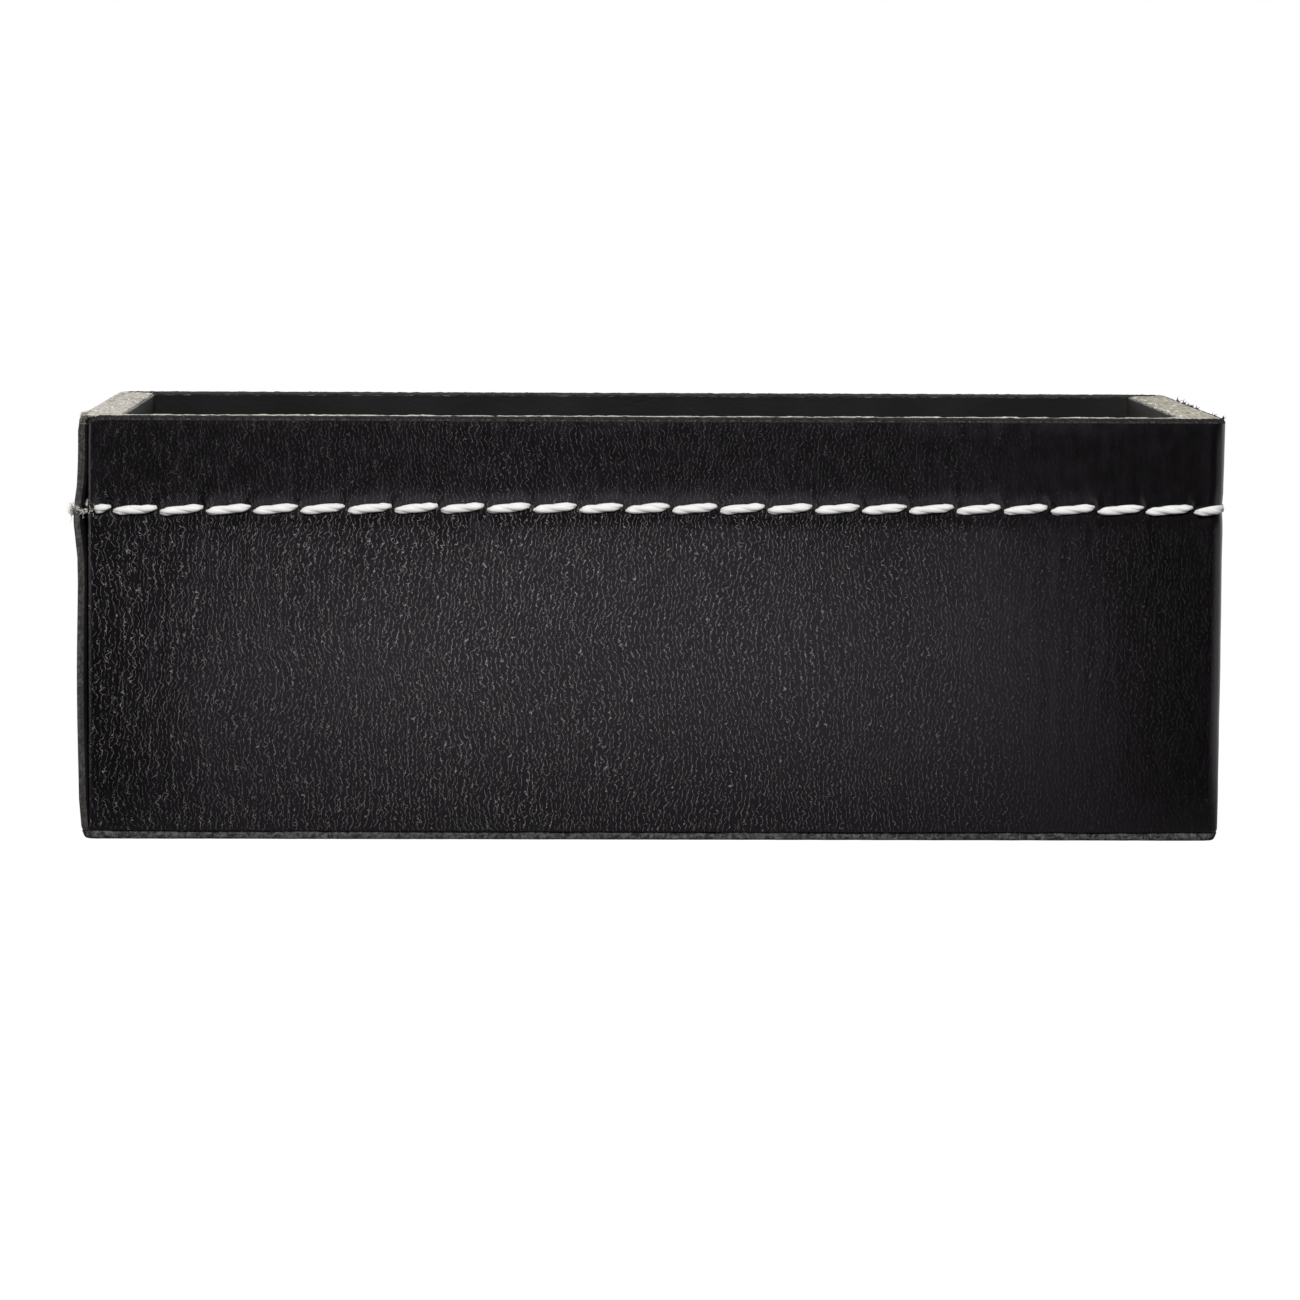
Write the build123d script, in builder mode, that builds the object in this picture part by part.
from build123d import *
import os

# Paper clip holder: an open tray of greyboard, lined with black sheet inside,
# and covered outside with one strip of black leather that is stitched right round.
# The front faces -Y. The origin is at the middle of the underside.

# Outside of the box, over the leather and without the thread
length = 140.0
depth = 70.0
height = 52.0

# Leather strip round the walls
wrap_thickness = 1.1
wrap_inner_radius = 0.7
rim_rounding = 0.5
butt_gap = 0.12

# Leather sheet under the box
base_thickness = 1.0
base_inset = 0.4
base_corner_radius = 2.5

# Greyboard core
board_thickness = 3.7
floor_thickness = 3.0
board_corner_clearance = 0.2

# Lining sheets
lining_thickness = 0.4
lining_below_rim = 0.3

# Waxed thread and its seam
thread_diameter = 0.9
thread_clearance = 0.05
thread_standing_proud = 0.52
stitch_pitch = 5.75
seam_below_rim = 11.1
stitch_rise_outside = 0.33
hole_half_spacing = 0.6
straight_at_corner = 0.1
thread_end_gap = 0.6

# Heights
walls_bottom = base_thickness
wall_height = height - walls_bottom
floor_top = walls_bottom + floor_thickness
lining_top = height - lining_below_rim
seam_height = height - seam_below_rim

# Plan sizes, from the leather inwards
board_outer_length = length - 2 * wrap_thickness
board_outer_depth = depth - 2 * wrap_thickness
board_inner_length = board_outer_length - 2 * board_thickness
board_inner_depth = board_outer_depth - 2 * board_thickness
wrap_corner_radius = wrap_inner_radius + wrap_thickness
board_corner_radius = wrap_inner_radius + board_corner_clearance

# Offsets of the thread's line from the leather's outer face, outwards
thread_radius = thread_diameter / 2
line_outside = thread_standing_proud - thread_radius
line_inside = -(wrap_thickness + thread_radius + 2 * thread_clearance)

# Turns of the thread: through a hole, round a folded corner, and round a sharp one,
# where it turns as tightly as its own thickness
bend_share_of_hole = 0.47
stitch_bend = bend_share_of_hole * (line_outside - line_inside)
outer_turn_radius = wrap_corner_radius + line_outside
tight_turn_radius = thread_diameter

# Holes along each wall: the last one leaves the thread room to bend before the corner
corner_margin = wrap_corner_radius + stitch_bend + hole_half_spacing + straight_at_corner
long_count = round((length - 2 * corner_margin) / stitch_pitch)
short_count = round((depth - 2 * corner_margin) / stitch_pitch)

# Two hidden runs lie side by side at each hole. Their rise keeps them apart there,
# also on the steepest run, which goes from the last hole of a wall to its corner
steepest_run = corner_margin + hole_half_spacing + line_inside
threads_apart = thread_diameter + 2 * thread_clearance
stitch_rise_inside = threads_apart / (2 - 2 * hole_half_spacing / steepest_run)

# Channel pressed into the boards, which gives the thread behind the leather its room
channel_depth = thread_radius + thread_clearance - line_inside - wrap_thickness
channel_height = 2 * (stitch_rise_inside + thread_radius + thread_clearance)

os.makedirs("parts", exist_ok=True)


def save(piece, name):
    """Name a finished piece and write its file."""
    piece.part.label = name
    export_step(piece.part, f"parts/{name}.step")


# Outer faces of the four walls, in the order the strip goes round the box:
# u runs along the wall, v up from the seam and w outwards
front_face = Plane((-length / 2, -depth / 2, seam_height), x_dir=(1, 0, 0), z_dir=(0, -1, 0))
right_face = Plane((length / 2, -depth / 2, seam_height), x_dir=(0, 1, 0), z_dir=(1, 0, 0))
back_face = Plane((length / 2, depth / 2, seam_height), x_dir=(-1, 0, 0), z_dir=(0, 1, 0))
left_face = Plane((-length / 2, depth / 2, seam_height), x_dir=(0, -1, 0), z_dir=(-1, 0, 0))

# Each wall's face, the u where its leather starts and ends, and its number of stitches
seam_walls = [
    (front_face, wrap_thickness, length, long_count),
    (right_face, 0, depth, short_count),
    (back_face, 0, length, long_count),
    (left_face, 0, depth, short_count),
]

# Stitch holes in order round the box, each as its wall and its distance along it
holes = []
for wall, (face, start, end, count) in enumerate(seam_walls):
    pitch = (end - start - 2 * corner_margin) / count
    for step in range(count + 1):
        holes.append((wall, start + corner_margin + step * pitch))
hole_count = len(holes)


def seam_point(wall, u, v, w):
    """A point beside the seam, from its place on one wall's outer face."""
    return seam_walls[wall][0].from_local_coords((u, v, w))


def corner_point(wall, w):
    """Where the thread's line turns the corner after this wall."""
    face = seam_walls[wall][0]
    wall_end = length if wall % 2 == 0 else depth
    return face.from_local_coords((wall_end + w, 0, w))


def run_ends(number, inside):
    """Points of one run between a hole and the next: its start, any box corner, its end."""
    wall, u = holes[number % hole_count]
    next_wall, next_u = holes[(number + 1) % hole_count]
    rise = stitch_rise_inside if inside else -stitch_rise_outside
    side = -hole_half_spacing if inside else hole_half_spacing
    w = line_inside if inside else line_outside
    points = [seam_point(wall, u + side, rise, w)]
    if next_wall != wall:
        points.append(corner_point(wall, w))
    points.append(seam_point(next_wall, next_u - side, -rise, w))
    return points


def corner_radii(number, inside):
    """Radius of the turn at the box corner that a run passes, if it passes one."""
    wall = holes[number % hole_count][0]
    next_wall = holes[(number + 1) % hole_count][0]
    if next_wall == wall:
        return []
    if inside or next_wall == 0:
        return [tight_turn_radius]
    return [outer_turn_radius]


def middle(first, second, shift=0.0):
    """The point half way from first to second, moved on by shift."""
    along = (second - first).normalized()
    return (first + second) / 2 + along * shift


def thread_stitches(first):
    """Points and radii of each visible stitch of one thread, with the hidden run on both sides.

    The thread starts and ends in the middle of one hidden run, where its cut ends nearly meet.
    """
    stitches = []
    for number in range(first, first + hole_count, 2):
        before = run_ends(number - 1, inside=True)
        over = run_ends(number, inside=False)
        after = run_ends(number + 1, inside=True)
        is_first = number == first
        is_last = number == first + hole_count - 2
        start = middle(before[0], before[1], thread_end_gap / 2 if is_first else 0.0)
        end = middle(after[0], after[1], -thread_end_gap / 2 if is_last else 0.0)
        points = [start, *before[1:], *over, after[0], end]
        radii = [*corner_radii(number - 1, inside=True), stitch_bend, stitch_bend]
        radii += [*corner_radii(number, inside=False), stitch_bend, stitch_bend]
        stitches.append((points, radii))
    return stitches


def thread_path(first):
    """The whole line of one thread, stitch after stitch."""
    with BuildLine() as path:
        for points, radii in thread_stitches(first):
            FilletPolyline(*points, radius=radii)
    return path.wires()[0]


# Both threads start in the middle of the back wall, one stitch apart
threads_start = hole_count // 2 + long_count // 2
first_path = thread_path(threads_start)
second_path = thread_path(threads_start + 1)


def thread_section(path, radius):
    """A round section at the start of a thread's line."""
    with BuildSketch(Plane(origin=path @ 0, z_dir=path % 0)) as section:
        Circle(radius)
    return section.sketch


# Leather wrap: one strip, butted at the front left corner, where the left end's raw edge
# covers the end of the front panel. Its outer top edge is rounded over
with BuildPart() as leather_wrap:
    with BuildSketch(Plane.XY.offset(walls_bottom)) as wrap_outline:
        Rectangle(length, depth)
        wrapped_corners = wrap_outline.vertices().sort_by(Axis((0, 0, 0), (1, 1, 0)))[1:]
        fillet(wrapped_corners, radius=wrap_corner_radius)
    extrude(amount=wall_height)
    fillet(leather_wrap.faces().sort_by(Axis.Z)[-1].edges(), radius=rim_rounding)
    with BuildSketch(Plane.XY.offset(walls_bottom)) as wrap_hollow:
        Rectangle(board_outer_length, board_outer_depth)
        hollow_corners = wrap_hollow.vertices().sort_by(Axis((0, 0, 0), (1, 1, 0)))[1:]
        fillet(hollow_corners, radius=wrap_inner_radius)
    extrude(amount=wall_height, mode=Mode.SUBTRACT)
    with BuildSketch(Plane.XY.offset(walls_bottom)):
        with Locations((-board_outer_length / 2, -depth / 2)):
            Rectangle(butt_gap, wrap_thickness, align=(Align.MIN, Align.MIN))
    extrude(amount=wall_height, mode=Mode.SUBTRACT)
    for path in (first_path, second_path):
        sweep(thread_section(path, thread_radius + thread_clearance), path=path, mode=Mode.SUBTRACT)
save(leather_wrap, "leather_wrap")

# Seam threads: a needle at each end of the seam's run, so that one thread lies outside
# wherever the other lies inside
with BuildPart() as seam_thread_first:
    sweep(thread_section(first_path, thread_radius), path=first_path)
save(seam_thread_first, "seam_thread_first")

with BuildPart() as seam_thread_second:
    sweep(thread_section(second_path, thread_radius), path=second_path)
save(seam_thread_second, "seam_thread_second")

# Leather base: a flat sheet with raw edges, a little inside the wrap
with BuildPart() as leather_base:
    with BuildSketch():
        RectangleRounded(length - 2 * base_inset, depth - 2 * base_inset, base_corner_radius)
    extrude(amount=base_thickness)
save(leather_base, "leather_base")

# Thread channel: the ring that every wall board gives up behind the seam
with BuildPart() as thread_channel:
    with BuildSketch(Plane.XY.offset(seam_height - channel_height / 2)):
        Rectangle(length, depth)
        RectangleRounded(
            board_outer_length - 2 * channel_depth,
            board_outer_depth - 2 * channel_depth,
            tight_turn_radius - thread_radius - thread_clearance,
            mode=Mode.SUBTRACT,
        )
    extrude(amount=channel_height)

# Front and back boards run the whole length and cover the ends of the side boards
for name, side, outer_group in (("front_board", -1, 0), ("back_board", 1, -1)):
    with BuildPart() as long_board:
        with BuildSketch(Plane.XY.offset(walls_bottom)):
            with Locations((0, side * (board_outer_depth - board_thickness) / 2)):
                Rectangle(board_outer_length, board_thickness)
        extrude(amount=wall_height)
        outer_edges = long_board.edges().filter_by(Axis.Z).group_by(Axis.Y)[outer_group]
        fillet(outer_edges, radius=board_corner_radius)
        add(thread_channel.part, mode=Mode.SUBTRACT)
    save(long_board, name)

# Side boards stand between them
for name, side in (("left_board", -1), ("right_board", 1)):
    with BuildPart() as side_board:
        with BuildSketch(Plane.XY.offset(walls_bottom)):
            with Locations((side * (board_outer_length - board_thickness) / 2, 0)):
                Rectangle(board_thickness, board_inner_depth)
        extrude(amount=wall_height)
        add(thread_channel.part, mode=Mode.SUBTRACT)
    save(side_board, name)

# Floor board, glued between the four walls
with BuildPart() as floor_board:
    with BuildSketch(Plane.XY.offset(walls_bottom)):
        Rectangle(board_inner_length, board_inner_depth)
    extrude(amount=floor_thickness)
save(floor_board, "floor_board")

# Linings of the front and back walls run the whole inner length
for name, side in (("front_lining", -1), ("back_lining", 1)):
    with BuildPart() as long_lining:
        with BuildSketch(Plane.XY.offset(floor_top)):
            with Locations((0, side * (board_inner_depth - lining_thickness) / 2)):
                Rectangle(board_inner_length, lining_thickness)
        extrude(amount=lining_top - floor_top)
    save(long_lining, name)

# Linings of the ends lie between them
for name, side in (("left_lining", -1), ("right_lining", 1)):
    with BuildPart() as side_lining:
        with BuildSketch(Plane.XY.offset(floor_top)):
            with Locations((side * (board_inner_length - lining_thickness) / 2, 0)):
                Rectangle(lining_thickness, board_inner_depth - 2 * lining_thickness)
        extrude(amount=lining_top - floor_top)
    save(side_lining, name)

# Floor lining, inside the four wall linings
with BuildPart() as floor_lining:
    with BuildSketch(Plane.XY.offset(floor_top)):
        Rectangle(
            board_inner_length - 2 * lining_thickness,
            board_inner_depth - 2 * lining_thickness,
        )
    extrude(amount=lining_thickness)
save(floor_lining, "floor_lining")

thread_lengths = [round(path.length, 1) for path in (first_path, second_path)]
print("stitches", hole_count, "thread lengths", thread_lengths)
print("thread turns", [round(turn, 2) for turn in (stitch_bend, outer_turn_radius, tight_turn_radius)])
